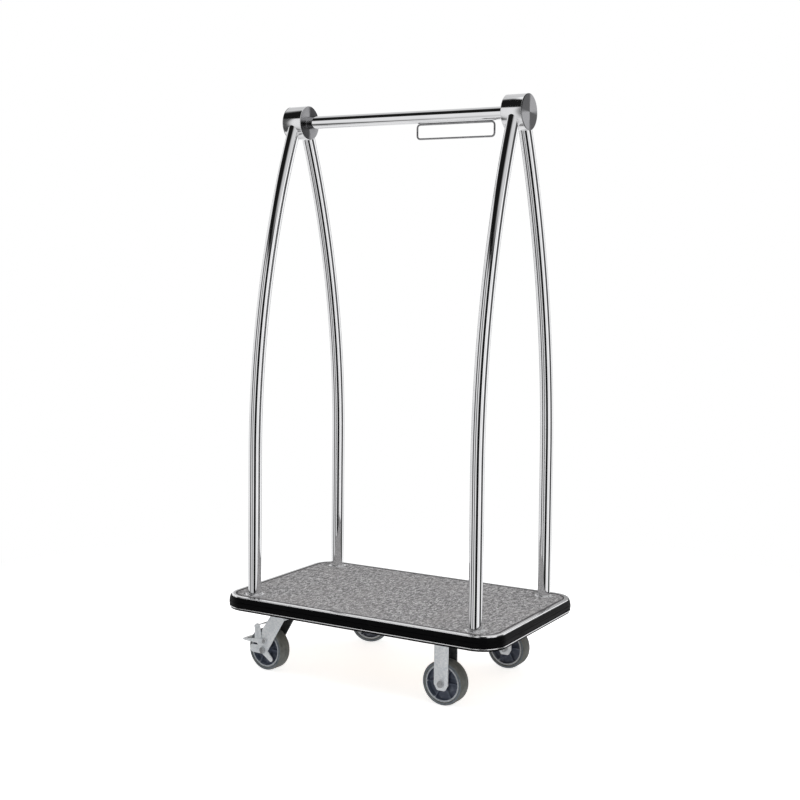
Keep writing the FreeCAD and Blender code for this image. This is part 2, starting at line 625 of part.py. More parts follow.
def brake_pedal():
    """Foot pedal: two cheeks on the pins and a cross plate behind the tread, which brakes it when down."""
    foot_z = PEDAL_BOTTOM + PEDAL_THICK / 2
    cheek = blade(BRAKE_PIVOT, (-PEDAL_INNER - 2, foot_z), 9, PEDAL_THICK, CHEEK_INNER, CHEEK_OUTER)
    tread = box((-PEDAL_OUTER, -CHEEK_OUTER, PEDAL_BOTTOM),
                (-PEDAL_INNER, CHEEK_OUTER, PEDAL_BOTTOM + PEDAL_THICK))
    outer_corners = [edge for edge in tread.Edges if abs(edge.BoundBox.XMax + PEDAL_OUTER) < 1e-6
                     and edge.BoundBox.ZLength > PEDAL_THICK / 2]
    pedal = joined(both_sides(cheek) + [tread.makeFillet(PEDAL_ROUND, outer_corners)])
    hole = rod(BRAKE_PIN_RADIUS + RUNNING_GAP, (BRAKE_PIVOT[0], -CHEEK_OUTER - 1, BRAKE_PIVOT[1]),
               (BRAKE_PIVOT[0], CHEEK_OUTER + 1, BRAKE_PIVOT[1]))
    return moved(pedal.cut(hole), -TRAIL, 0, WHEEL_RADIUS)


def build():
    """Make every sub-part and write it."""
    for side_sign, side in SIDES:
        save(f"side_rail_{side}", side_rail(side_sign))
    for end_sign, end in ENDS:
        save(f"cross_rail_{end}", cross_rail(end_sign))
    save("deck_board", platform_layer(TRIM_WALL, BOARD_BOTTOM, BOARD_TOP))
    save("carpet", carpet())
    save("edge_trim", edge_trim())
    save("bumper", bumper())
    save("bumper_strip", bumper_strip())
    save("foot_screws", Part.makeCompound(foot_screws()))

    for name, end_sign, side_sign in leg_places():
        save(f"leg_{name}", leg(end_sign, side_sign))
        save(f"foot_flange_{name}", foot_flange(end_sign, side_sign))
    for end_sign, end in ENDS:
        save(f"drum_shell_{end}", drum_shell(end_sign))
        save(f"drum_cap_{end}", drum_cap(end_sign))
    save("top_bar", top_bar())
    save("hanger_loop", hanger_loop())

    save("caster_bolts", Part.makeCompound(caster_bolts()))
    save("caster_nuts", Part.makeCompound(caster_nuts()))
    rigid_nuts = []
    for side_sign, side in SIDES:
        centre = (RIGID_X, side_sign * CASTER_Y)
        save(f"rigid_fork_{side}", moved(rigid_fork(), *centre))
        save(f"rigid_axle_{side}", moved(axle_bolt(FORK_OUTER), *centre, WHEEL_RADIUS))
        rigid_nuts.append(moved(axle_nut(FORK_OUTER), *centre, WHEEL_RADIUS))
        save_wheel(f"{side}_right", lambda shape: moved(shape, *centre, WHEEL_RADIUS))
    save("rigid_axle_nuts", Part.makeCompound(rigid_nuts))

    for (side_sign, side), turn in zip(SIDES, (FRONT_SWIVEL_TURN, BACK_SWIVEL_TURN)):
        centre = (SWIVEL_X, side_sign * CASTER_Y)
        save(f"swivel_plate_{side}", moved(swivel_plate(), *centre))
        save(f"kingpin_{side}", moved(kingpin(), *centre))
        save(f"swivel_fork_{side}", moved(turned(swivel_fork(), turn), *centre))
        save(f"brake_plates_{side}", moved(turned(brake_plates(), turn), *centre))
        save(f"brake_pins_{side}", moved(turned(Part.makeCompound(brake_pins()), turn), *centre))
        save(f"brake_pedal_{side}", moved(turned(brake_pedal(), turn), *centre))
        at_axle = lambda shape: moved(turned(moved(shape, -TRAIL, 0, WHEEL_RADIUS), turn), *centre)
        save(f"swivel_axle_{side}", at_axle(axle_bolt(PLATES_OUTER)))
        save(f"swivel_axle_nut_{side}", at_axle(axle_nut(PLATES_OUTER)))
        save_wheel(f"{side}_left", at_axle)


def save_wheel(name, place):
    """Write one wheel's three pieces, put in place by the given function."""
    save(f"tyre_{name}", place(tyre()))
    save(f"wheel_hub_{name}", place(wheel_hub()))
    save(f"wheel_bearing_{name}", place(wheel_bearing()))


build()
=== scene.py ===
import json
import math
import random

import bmesh
import bpy
from mathutils import Matrix, Vector

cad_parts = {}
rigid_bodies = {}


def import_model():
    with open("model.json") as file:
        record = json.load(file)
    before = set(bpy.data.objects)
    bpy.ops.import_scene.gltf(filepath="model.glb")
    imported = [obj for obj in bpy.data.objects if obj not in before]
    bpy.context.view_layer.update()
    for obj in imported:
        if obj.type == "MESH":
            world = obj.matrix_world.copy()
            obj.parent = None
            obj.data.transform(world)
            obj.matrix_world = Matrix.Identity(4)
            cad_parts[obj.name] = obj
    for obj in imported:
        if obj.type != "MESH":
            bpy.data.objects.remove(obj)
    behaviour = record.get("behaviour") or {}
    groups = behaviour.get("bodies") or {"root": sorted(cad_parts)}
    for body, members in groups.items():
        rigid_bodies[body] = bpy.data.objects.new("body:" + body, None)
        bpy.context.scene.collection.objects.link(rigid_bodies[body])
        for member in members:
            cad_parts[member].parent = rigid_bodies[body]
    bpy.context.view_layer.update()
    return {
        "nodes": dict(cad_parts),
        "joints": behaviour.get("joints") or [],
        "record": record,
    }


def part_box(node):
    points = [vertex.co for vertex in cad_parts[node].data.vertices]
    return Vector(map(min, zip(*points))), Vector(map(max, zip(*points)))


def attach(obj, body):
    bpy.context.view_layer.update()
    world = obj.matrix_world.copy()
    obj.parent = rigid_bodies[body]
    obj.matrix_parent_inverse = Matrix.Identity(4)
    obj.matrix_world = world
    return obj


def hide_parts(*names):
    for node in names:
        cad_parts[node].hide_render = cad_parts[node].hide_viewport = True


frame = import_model()

# Hotel luggage cart: a carpeted platform on four casters, two bowed tube arches that meet in drums,
# and a garment bar with a rod loop under it. Metres, +X to the rigid casters, +Y to the back, +Z up.

UP = Vector((0, 0, 1))
ALONG = Vector((1, 0, 0))
SIDES = ("front", "back")
ENDS = ("left", "right")
CORNERS = [(side, end) for side in SIDES for end in ENDS]
JOINTS = {joint["name"]: joint for joint in frame["joints"]}
BOXES = {node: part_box(node) for node in frame["nodes"]}

# Driving sizes that a node's box doesn't give
CORNER_RADIUS = 0.075
BEND_START = 0.706
BEND_RADIUS = 2.820
LEG_TOP_DROP = 0.046
LOOP_CORNER = 0.012
DRUM_WALL = 0.003
CAP_CHAMFER = 0.001
CAP_DISH = 0.012
TRIM_LIP = 0.012
TRIM_THICK = 0.0016
TRIM_FOLD = 0.002
TRIM_WALL = 0.002
GROOVE_DEPTH = 0.00156
GROOVE_SPREAD = 0.022  # a share of the bumper's height
STRIP_SLOT = 0.0032  # the slot's floor and the strip's back, outwards from the edging's wall
STRIP_BACK = 0.0025
BUMPER_LIP = 0.0045
PILE_PITCH = 0.0042
PILE_RISE = 0.004
PILE_MARGIN = 0.0005
LOOP_HEIGHT = 0.0006
LOOP_UNEVEN = 0.0007
FLANGE_THICK = 0.0022
FLANGE_EDGE = 0.0012
COLLAR_RADIUS = 0.0228
SCREW_CIRCLE = 0.027
SCREW_RADIUS = 0.0028
TREAD_HALF = 0.025
TREAD_INNER = 0.057
TREAD_ROUND = 0.0075
RIM_INNER = 0.0535

# Smooth shading goes round edges flatter than these angles, in degrees
CREASE = 35
EASED_CREASE = 50
PILE_CREASE = 70

# Dark upright gaps between the studio's white screens: bearing and half width in degrees, and darkness
SCREEN_LIGHT = 1.08
SCREEN_GAPS = ((-152, 11, 0.9), (-112, 6, 0.5), (-80, 13, 0.92), (-40, 28, 0.22), (-42, 9, 0.8),
               (3, 19, 0.99), (40, 6, 0.35), (86, 20, 0.93), (160, 13, 0.95))
GAP_SOFTNESS = 3
GAP_MIDDLE = -8
GAP_REACH = (30, 40)
# Height of the gap under the ceiling, in degrees, its half width, and the bearing where it is darkest
CEILING_GAP = 45
CEILING_REACH = (19, 24)
CEILING_BEARING = -60
CEILING_SPREAD = (40, 75)
# Heights below the horizon between which the ground darkens the light
GROUND_DIMMING = (-34, -12)

# Soft panels: name, place, width and power
PANELS = (("overhead", (0.6, -0.8, 4.2), 3.0, 84.0), ("side", (-3.2, -2.4, 2.2), 2.0, 14.0),
          ("low_front", (0.9, -3.4, 0.45), 2.0, 30.0))
PANEL_TARGET = Vector((0, 0, 0.3))

FLOOR_REACH = 2.6
FLOOR_GLOW = 0.72

# Viewing camera: yaw, pitch and roll in degrees, place, lens in millimetres and shift
CAMERA_TURN = (-29.86, -3.27, 0.64)
CAMERA_PLACE = (2.169, -3.699, 1.329)
CAMERA_LENS = 59.76
CAMERA_SHIFT = (-0.01825, -0.0755)


def size(node):
    """Sides of a node's box."""
    low, high = BOXES[node]
    return high - low


def middle(node):
    """Centre of a node's box."""
    low, high = BOXES[node]
    return (low + high) / 2


# ---- shader graphs ----

class Value:
    """An output socket of a graph. Operators on numbers add Math nodes."""

    def __init__(self, graph, socket):
        self.graph = graph
        self.socket = socket

    def math(self, operation, *others, flip=False):
        terms = [self, *others][::-1] if flip else [self, *others]
        return self.graph.add("ShaderNodeMath", {"operation": operation}, dict(enumerate(terms)))

    def __add__(self, other):
        return self.math("ADD", other)

    def __sub__(self, other):
        return self.math("SUBTRACT", other)

    def __rsub__(self, other):
        return self.math("SUBTRACT", other, flip=True)

    def __mul__(self, other):
        return self.math("MULTIPLY", other)

    def __truediv__(self, other):
        return self.math("DIVIDE", other)

    def __pow__(self, other):
        return self.math("POWER", other)

    def __abs__(self):
        return self.math("ABSOLUTE")

    __radd__ = __add__
    __rmul__ = __mul__


class Graph:
    """The node tree of a material or of the world."""

    def __init__(self, tree):
        self.tree = tree
        tree.nodes.clear()

    def add(self, kind, settings=None, inputs=None, output=0):
        """One node: its settings first, then the values or links of its sockets."""
        node = self.tree.nodes.new(kind)
        for name, setting in (settings or {}).items():
            if name == "stops":
                self.fill_ramp(node.color_ramp, setting)
            else:
                setattr(node, name, setting)
        for name, value in (inputs or {}).items():
            if isinstance(value, Value):
                self.tree.links.new(value.socket, node.inputs[name])
            else:
                node.inputs[name].default_value = value
        return Value(self, node.outputs[output]) if node.outputs else node

    def fill_ramp(self, ramp, stops):
        while len(ramp.elements) < len(stops):
            ramp.elements.new(0.5)
        for element, (place, shade) in zip(ramp.elements, stops):
            element.position = place
            element.color = shade if isinstance(shade, tuple) else (shade, shade, shade, 1)

    def place(self, scale=(1, 1, 1), turn=(0, 0, 0)):
        """Object coordinates, scaled and turned."""
        where = self.add("ShaderNodeTexCoord", output="Object")
        return self.add("ShaderNodeMapping", {}, {"Vector": where, "Scale": scale, "Rotation": turn})

    def noise(self, where, scale, detail=3.0, rough=0.55):
        return self.add("ShaderNodeTexNoise", {}, {"Vector": where, "Scale": scale, "Detail": detail,
                                                   "Roughness": rough})

    def cells(self, where, scale, output="Distance"):
        return self.add("ShaderNodeTexVoronoi", {}, {"Vector": where, "Scale": scale}, output)

    def ramp(self, value, stops):
        return self.add("ShaderNodeValToRGB", {"stops": stops}, {"Fac": value})

    def span(self, value, low, high, to_low=0.0, to_high=1.0):
        """A number moved from one range to another, and kept inside it."""
        return self.add("ShaderNodeMapRange", {"interpolation_type": "SMOOTHSTEP"},
                        {"Value": value, "From Min": low, "From Max": high,
                         "To Min": to_low, "To Max": to_high})

    def blend(self, factor, first, second):
        """A mix of two colours. Sockets 6 and 7 are its colours and output 2 its result."""
        return self.add("ShaderNodeMix", {"data_type": "RGBA"}, {0: factor, 6: first, 7: second}, 2)

    def inset(self, where):
        """Distance from the platform's rounded edge, inwards."""
        half = size("edge_trim") / 2
        across = self.add("ShaderNodeSeparateXYZ", {}, {"Vector": where}, "X")
        over_x = abs(across) - (half.x - CORNER_RADIUS)
        over_y = abs(Value(self, across.socket.node.outputs["Y"])) - (half.y - CORNER_RADIUS)
        beyond = (over_x.math("MAXIMUM", 0.0) ** 2 + over_y.math("MAXIMUM", 0.0) ** 2) ** 0.5
        return CORNER_RADIUS - (beyond + over_x.math("MAXIMUM", over_y).math("MINIMUM", 0.0))

    def bump(self, height, distance, strength):
        inputs = {"Height": height, "Distance": distance, "Strength": strength}
        return self.add("ShaderNodeBump", {}, inputs)


def rgb(red, green, blue):
    return (red, green, blue, 1.0)


def material(name, paint):
    """A material whose surface is the shader that paint(graph) gives as socket values."""
    made = bpy.data.materials.new(name)
    made.use_nodes = True
    graph = Graph(made.node_tree)
    shader = graph.add("ShaderNodeBsdfPrincipled", {}, paint(graph))
    graph.add("ShaderNodeOutputMaterial", {}, {"Surface": shader})
    return made


# ---- materials ----

def polished_steel(graph):
    """Stainless tube: polished, with faint haze, fine scratches and a few finger smudges."""
    where = graph.place()
    haze = graph.noise(where, 9.0, 4.0)
    scratch = graph.noise(graph.place(scale=(900, 900, 24)), 1.0, 2.0)
    smudge = graph.span(graph.noise(where, 21.0, 5.0, 0.6), 0.56, 0.72)
    tone = graph.ramp(haze, [(0.3, rgb(0.84, 0.845, 0.85)), (0.7, rgb(0.91, 0.91, 0.915))])
    return {"Base Color": tone, "Metallic": 1.0, "Roughness": 0.03 + haze * 0.04 + smudge * 0.05,
            "Normal": graph.bump(scratch, 0.00001, 0.2)}


def polished_drum(graph):
    """Rolled and polished sheet round the drums: polishing lines run round the axis."""
    where = graph.place()
    haze = graph.noise(where, 14.0, 4.0)
    lines = graph.noise(graph.place(scale=(1500, 20, 20)), 1.0, 2.0)
    tone = graph.ramp(haze, [(0.3, rgb(0.8, 0.805, 0.81)), (0.7, rgb(0.89, 0.89, 0.895))])
    return {"Base Color": tone, "Metallic": 1.0, "Roughness": 0.06 + lines * 0.08,
            "Normal": graph.bump(lines, 0.00002, 0.3)}


def rosette_steel(graph):
    """Spun flanges round the legs' feet, dulled by cleaning."""
    haze = graph.noise(graph.place(), 60.0, 4.0)
    tone = graph.ramp(haze, [(0.3, rgb(0.52, 0.52, 0.525)), (0.7, rgb(0.72, 0.72, 0.725))])
    return {"Base Color": tone, "Metallic": 1.0, "Roughness": 0.2 + haze * 0.15}


def loop_steel(graph):
    """Drawn wire of the loop, duller than the tubes."""
    haze = graph.noise(graph.place(), 90.0, 4.0)
    tone = graph.ramp(haze, [(0.3, rgb(0.26, 0.26, 0.265)), (0.7, rgb(0.42, 0.42, 0.425))])
    return {"Base Color": tone, "Metallic": 1.0, "Roughness": 0.14 + haze * 0.15}


def spun_steel(graph, sign):
    """A turned disc: fine rings, and light and dark quarters painted into its colour as a painted reflection
    of the rings' glints.
    """
    where = graph.add("ShaderNodeTexCoord", output="Object")
    across = graph.add("ShaderNodeSeparateXYZ", {}, {"Vector": where}, "Y")
    rise = Value(graph, across.socket.node.outputs["Z"]) - middle("top_bar").z
    radius = (across * across + rise * rise) ** 0.5
    rings = graph.add("ShaderNodeTexNoise", {"noise_dimensions": "1D"},
                      {"W": radius * 2600, "Scale": 1.0, "Detail": 3.0})
    # Painted reflection: each quarter of the disc is coloured lighter or darker by its quadrant, standing in
    # for the glints of the turning rings
    quarter = across * rise / (radius * radius + 0.00001) * sign
    cloud = graph.noise(where, 60.0, 4.0)
    shade = graph.span(quarter + cloud * 0.3 - 0.15, -0.15, 0.2) * 0.8 + rings * 0.2
    tone = graph.blend(shade, rgb(0.018, 0.018, 0.02), rgb(0.36, 0.36, 0.37))
    return {"Base Color": tone, "Metallic": 1.0, "Roughness": 0.22 + rings * 0.16,
            "Normal": graph.bump(rings, 0.00004, 0.5)}


def spun_cap(graph):
    """Outer end of a drum."""
    return spun_steel(graph, 1)


def spun_end(graph):
    """Inner end of a drum, turned the other way."""
    return spun_steel(graph, -1)


def edging_steel(graph):
    """Folded stainless edging, brushed along its length and scuffed by cases."""
    where = graph.place()
    fine = graph.noise(graph.place(scale=(40, 40, 2500)), 1.0, 2.0)
    scuff = graph.span(graph.noise(where, 60.0, 6.0, 0.7), 0.58, 0.7)
    tone = graph.blend(scuff, rgb(0.84, 0.84, 0.845), rgb(0.6, 0.6, 0.6))
    # Painted shade and painted reflection: the lip darkens towards its inner edge, for its shadow and the
    # dark pile it reflects
    painted_lip_shade = graph.span(graph.inset(where), 0.005, 0.0085)
    tone = graph.blend(painted_lip_shade * 0.85, tone, rgb(0.12, 0.12, 0.12))
    return {"Base Color": tone, "Metallic": 1.0, "Roughness": 0.14 + fine * 0.1 + scuff * 0.2,
            "Normal": graph.bump(fine, 0.00002, 0.4)}


def zinc_plate(graph):
    """Bright zinc plating: crystal patches, a cold tint and a dull bloom."""
    where = graph.place()
    patches = graph.cells(where, 210.0, "Color")
    patch = graph.add("ShaderNodeSeparateColor", {}, {"Color": patches})
    bloom = graph.noise(where, 35.0, 5.0)
    tone = graph.ramp(patch * 0.5 + bloom * 0.5,
                      [(0.25, rgb(0.78, 0.82, 0.85)), (0.75, rgb(0.97, 0.99, 1.0))])
    return {"Base Color": tone, "Metallic": 0.3, "Roughness": 0.34 + bloom * 0.22,
            "Normal": graph.bump(bloom, 0.0003, 0.2)}


def painted_shade_zinc(graph):
    """Zinc inside a fork, painted nearly black as painted shade, for the shade of the wheel and the fork's
    other cheek.
    """
    where = graph.place()
    mottle = graph.noise(where, 70.0, 5.0, 0.6)
    tone = graph.ramp(mottle, [(0.3, rgb(0.018, 0.019, 0.02)), (0.75, rgb(0.075, 0.078, 0.08))])
    return {"Base Color": tone, "Metallic": 0.3, "Roughness": 0.5 + mottle * 0.25,
            "Normal": graph.bump(mottle, 0.0004, 0.3)}


def fastener_steel(graph):
    """Zinc-plated bolts and nuts, their tone varying at random."""
    where = graph.place()
    wear = graph.noise(where, 160.0, 5.0)
    tone = graph.ramp(wear, [(0.3, rgb(0.42, 0.43, 0.44)), (0.7, rgb(0.68, 0.69, 0.7))])
    return {"Base Color": tone, "Metallic": 1.0, "Roughness": 0.28 + wear * 0.2,
            "Normal": graph.bump(wear, 0.0002, 0.2)}


def black_rubber(graph):
    """Extruded rubber: nearly black, with a waxy shine, rub marks and grey dust."""
    where = graph.place()
    grain = graph.noise(where, 900.0, 3.0)
    rub = graph.span(graph.noise(graph.place(scale=(6, 6, 60)), 1.0, 5.0, 0.65), 0.52, 0.75)
    dust = graph.span(graph.noise(where, 30.0, 6.0, 0.7), 0.55, 0.8)
    tone = graph.blend(dust * 0.35, rgb(0.0022, 0.0022, 0.0026), rgb(0.014, 0.0135, 0.013))
    return {"Base Color": tone, "Roughness": 0.4 + rub * 0.2 + grain * 0.08, "Specular IOR Level": 0.05,
            "Normal": graph.bump(grain, 0.00025, 0.25)}


def carpet_pile(graph):
    """Heathered loop pile: every loop is one of several greys, with painted shade between the loops."""
    where = graph.place()
    yarn = graph.add("ShaderNodeSeparateColor", {}, {"Color": graph.cells(where, 260.0, "Color")})
    clump = graph.noise(graph.place(scale=(1, 0.4, 1)), 105.0, 3.0, 0.75)
    gap = graph.span(graph.cells(where, 260.0), 0.25, 0.8)
    twist = graph.noise(where, 1500.0, 2.0)
    soil = graph.noise(where, 7.0, 5.0)
    heather = yarn * 0.45 + graph.span(clump, 0.34, 0.66) * 0.55
    greys = graph.ramp(heather, [(0.05, rgb(0.1, 0.098, 0.098)), (0.35, rgb(0.26, 0.256, 0.258)),
                                 (0.65, rgb(0.49, 0.482, 0.485)), (0.95, rgb(0.86, 0.85, 0.855))])
    # Painted shade: the colour darkens in the gaps between the loops
    shaded = graph.blend(gap * 0.5, greys, rgb(0.12, 0.118, 0.12))
    worn = graph.blend(graph.span(soil, 0.35, 0.7, 0.0, 0.3), shaded, rgb(0.33, 0.315, 0.31))
    # The pile is pressed down where it meets the edging's lip, and its colour is darkened there as painted
    # shade
    edge = graph.span(graph.inset(where), TRIM_LIP + 0.006, TRIM_LIP + 0.014, 0.85, 0.0)
    tone = graph.blend(edge, worn, rgb(0.06, 0.058, 0.06))
    height = (1 - gap) * 0.8 + twist * 0.2
    return {"Base Color": tone, "Roughness": 0.95, "Specular IOR Level": 0.15,
            "Normal": graph.bump(height, 0.0016, 0.8)}


def grey_tread(graph):
    """Non-marking grey tyre rubber with a dusty running face and a fine moulded grain."""
    where = graph.place()
    grain = graph.noise(where, 700.0, 3.0)
    dirt = graph.noise(where, 45.0, 6.0, 0.65)
    tone = graph.ramp(dirt, [(0.3, rgb(0.1, 0.105, 0.097)), (0.75, rgb(0.225, 0.23, 0.21))])
    return {"Base Color": tone, "Roughness": 0.55 + dirt * 0.25, "Normal": graph.bump(grain, 0.0003, 0.35)}


def tyre_side(graph):
    """The tyre's flat sides: cleaner and colder than its running face."""
    where = graph.place()
    grain = graph.noise(where, 700.0, 3.0)
    dirt = graph.noise(where, 80.0, 5.0, 0.6)
    tone = graph.ramp(dirt, [(0.3, rgb(0.08, 0.1, 0.12)), (0.75, rgb(0.2, 0.225, 0.25))])
    return {"Base Color": tone, "Roughness": 0.5 + dirt * 0.2, "Normal": graph.bump(grain, 0.0003, 0.35)}


def moulded_hub(graph):
    """Blue-grey moulded nylon with a fine spark-eroded texture and patches of dust."""
    where = graph.place()
    grain = graph.noise(where, 1100.0, 2.0)
    dust = graph.span(graph.noise(where, 55.0, 5.0), 0.45, 0.75)
    tone = graph.blend(dust * 0.7, rgb(0.085, 0.1, 0.14), rgb(0.26, 0.285, 0.33))
    return {"Base Color": tone, "Roughness": 0.42 + grain * 0.2, "Normal": graph.bump(grain, 0.0002, 0.3)}


def rubbed_rim(graph):
    """The hub's rim, rubbed pale by the floor and by cleaning."""
    where = graph.place()
    rub = graph.noise(where, 240.0, 4.0)
    tone = graph.ramp(rub, [(0.3, rgb(0.34, 0.37, 0.4)), (0.7, rgb(0.62, 0.65, 0.68))])
    return {"Base Color": tone, "Roughness": 0.45 + rub * 0.2, "Normal": graph.bump(rub, 0.0002, 0.3)}


def bearing_plastic(graph):
    """Natural acetal sleeve."""
    cloud = graph.noise(graph.place(), 120.0, 4.0)
    tone = graph.ramp(cloud, [(0.3, rgb(0.5, 0.5, 0.47)), (0.7, rgb(0.66, 0.66, 0.62))])
    return {"Base Color": tone, "Roughness": 0.4 + cloud * 0.15}


def painted_rail(graph):
    """Black powder coat with orange peel and a few chips of grey primer."""
    where = graph.place()
    peel = graph.noise(where, 420.0, 2.0)
    chip = graph.span(graph.noise(where, 90.0, 6.0, 0.7), 0.7, 0.74)
    tone = graph.blend(chip, rgb(0.014, 0.014, 0.015), rgb(0.16, 0.16, 0.16))
    return {"Base Color": tone, "Roughness": 0.32 + peel * 0.12 + chip * 0.3,
            "Normal": graph.bump(peel, 0.0004, 0.35)}


def plywood(graph):
    """Birch plywood: long figure on the faces and thin ply lines on the edges."""
    where = graph.place(scale=(3, 40, 40))
    figure = graph.noise(where, 1.6, 6.0, 0.6)
    plies = graph.add("ShaderNodeTexWave", {"bands_direction": "Z", "wave_profile": "TRI"},
                      {"Vector": graph.place(), "Scale": 160.0, "Distortion": 0.15})
    tone = graph.ramp(figure, [(0.3, rgb(0.46, 0.31, 0.17)), (0.5, rgb(0.6, 0.43, 0.25)),
                               (0.7, rgb(0.7, 0.54, 0.34))])
    tone = graph.blend(plies * 0.25, tone, rgb(0.3, 0.19, 0.1))
    return {"Base Color": tone, "Roughness": 0.6 + figure * 0.2, "Normal": graph.bump(figure, 0.0004, 0.3)}


FINISHES = {paint.__name__: material(paint.__name__, paint) for paint in (
    polished_steel, polished_drum, rosette_steel, loop_steel, spun_cap, spun_end, edging_steel,
    zinc_plate, painted_shade_zinc, fastener_steel, black_rubber, carpet_pile, grey_tread, tyre_side,
    moulded_hub, rubbed_rim, bearing_plastic, painted_rail, plywood)}


# ---- mesh makers ----

def placed(name, data):
    """A new object in the scene."""
    thing = bpy.data.objects.new(name, data)
    bpy.context.scene.collection.objects.link(thing)
    return thing


def baked(thing):
    """A mesh of the object with its modifiers applied."""
    return bpy.data.meshes.new_from_object(thing.evaluated_get(bpy.context.evaluated_depsgraph_get()))


def new_piece(name, mesh, finish, crease=CREASE):
    """An object from a mesh, with a finish and with smooth shading up to the crease angle."""
    mesh.name = name
    mesh.materials.clear()
    mesh.materials.append(FINISHES[finish])
    for polygon in mesh.polygons:
        polygon.material_index = 0
    mesh.shade_smooth()
    mesh.set_sharp_from_angle(angle=math.radians(crease))
    return placed(name, mesh)


def second_finish(piece, finish, chosen):
    """Another finish on the faces that chosen(face) picks."""
    piece.data.materials.append(FINISHES[finish])
    for face in piece.data.polygons:
        face.material_index = int(chosen(face))


def turned_outwards(mesh):
    """The mesh with its seams closed and its faces turned outwards."""
    work = bmesh.new()
    work.from_mesh(mesh)
    bmesh.ops.remove_doubles(work, verts=work.verts, dist=1e-7)
    bmesh.ops.recalc_face_normals(work, faces=work.faces)
    work.to_mesh(mesh)
    work.free()
    return mesh


def mesh_from(points, faces):
    """A closed mesh with its faces turned outwards."""
    mesh = bpy.data.meshes.new("shape")
    mesh.from_pydata([tuple(point) for point in points], [], faces)
    return turned_outwards(mesh)


def ring_faces(rings, count):
    """Faces between neighbouring rings of count points each, the last ring joined to the first."""
    faces = []
    for ring in range(rings):
        here = ring * count
        there = (ring + 1) % rings * count
        faces += [(here + k, here + (k + 1) % count, there + (k + 1) % count, there + k)
                  for k in range(count)]
    return faces


def round_corners(outline, radius, steps=4):
    """A closed outline of (a, b) points with every corner turned into a short arc."""
    rounded = []
    count = len(outline)
    for index, corner in enumerate(outline):
        corner = Vector(corner)
        back = Vector(outline[index - 1]) - corner
        ahead = Vector(outline[(index + 1) % count]) - corner
        cut = min(radius, back.length * 0.45, ahead.length * 0.45)
        start = corner + back.normalized() * cut
        end = corner + ahead.normalized() * cut
        for step in range(steps + 1):
            t = step / steps
            rounded.append((1 - t) ** 2 * start + 2 * t * (1 - t) * corner + t ** 2 * end)
    return rounded


def lathe(outline, centre, axis, segments):
    """A ring or a disc: a closed outline of (along, radius) points turned about an axis."""
    axis = Vector(axis).normalized()
    side = axis.orthogonal().normalized()
    other = axis.cross(side)
    points = []
    for turn in range(segments):
        angle = 2 * math.pi * turn / segments
        out = side * math.cos(angle) + other * math.sin(angle)
        points += [Vector(centre) + axis * along + out * radius for along, radius in outline]
    mesh = mesh_from(points, ring_faces(segments, len(outline)))
    work = bmesh.new()
    work.from_mesh(mesh)
    bmesh.ops.dissolve_degenerate(work, edges=work.edges, dist=1e-7)
    work.to_mesh(mesh)
    work.free()
    return mesh


def platform_stations(corner_steps=20, run_steps=6):
    """Points round the platform's edge at the edging's wall, each with its outward direction."""
    half_x, half_y = (size("edge_trim") / 2 - Vector((TRIM_FOLD,) * 3))[:2]
    run_x = half_x - CORNER_RADIUS
    run_y = half_y - CORNER_RADIUS
    stations = []
    corners = ((1, -1, -90), (1, 1, 0), (-1, 1, 90), (-1, -1, 180))
    for sign_x, sign_y, start in corners:
        centre = Vector((sign_x * run_x, sign_y * run_y, 0))
        for step in range(corner_steps + 1):
            angle = math.radians(start + 90 * step / corner_steps)
            out = Vector((math.cos(angle), math.sin(angle), 0))
            stations.append((centre + out * CORNER_RADIUS, out))
        last, out = stations[-1]
        ahead = Vector((-out.y, out.x, 0)) * (2 * (run_y if abs(out.x) > 0.5 else run_x))
        stations += [(last + ahead * step / run_steps, out) for step in range(1, run_steps)]
    return stations


def edge_strip(outline):
    """A closed strip round the platform with a section of (outward, height) points."""
    points = []
    stations = platform_stations()
    for place, out in stations:
        points += [place + out * outward + UP * height for outward, height in outline]
    return mesh_from(points, ring_faces(len(stations), len(outline)))


def dressed(node, finish, bevel):
    """A joined, smooth-shaded copy of a CAD node, with its sharp edges eased."""
    mesh = frame["nodes"][node].data.copy()
    work = bmesh.new()
    work.from_mesh(mesh)
    bmesh.ops.remove_doubles(work, verts=work.verts, dist=2e-6)
    bmesh.ops.dissolve_limit(work, angle_limit=math.radians(0.5), verts=work.verts, edges=work.edges)
    work.to_mesh(mesh)
    work.free()
    sharp = new_piece(f"{node}_made", mesh, finish)
    ease = sharp.modifiers.new("ease", "BEVEL")
    ease.width = bevel
    ease.segments = 2
    ease.limit_method = "ANGLE"
    ease.angle_limit = math.radians(CREASE)
    ease.harden_normals = False
    eased = baked(sharp)
    bpy.data.objects.remove(sharp)
    return new_piece(f"{node}_made", eased, finish, EASED_CREASE)


def show(piece, body, *nodes):
    """The piece rides on its body and stands for its CAD nodes."""
    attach(piece, body)
    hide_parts(*nodes)
    return piece


def body_of(node):
    """Name of the body that holds a node."""
    bodies = frame["record"]["behaviour"]["bodies"]
    return next(body for body, nodes in bodies.items() if node in nodes)


# ---- node groups ----

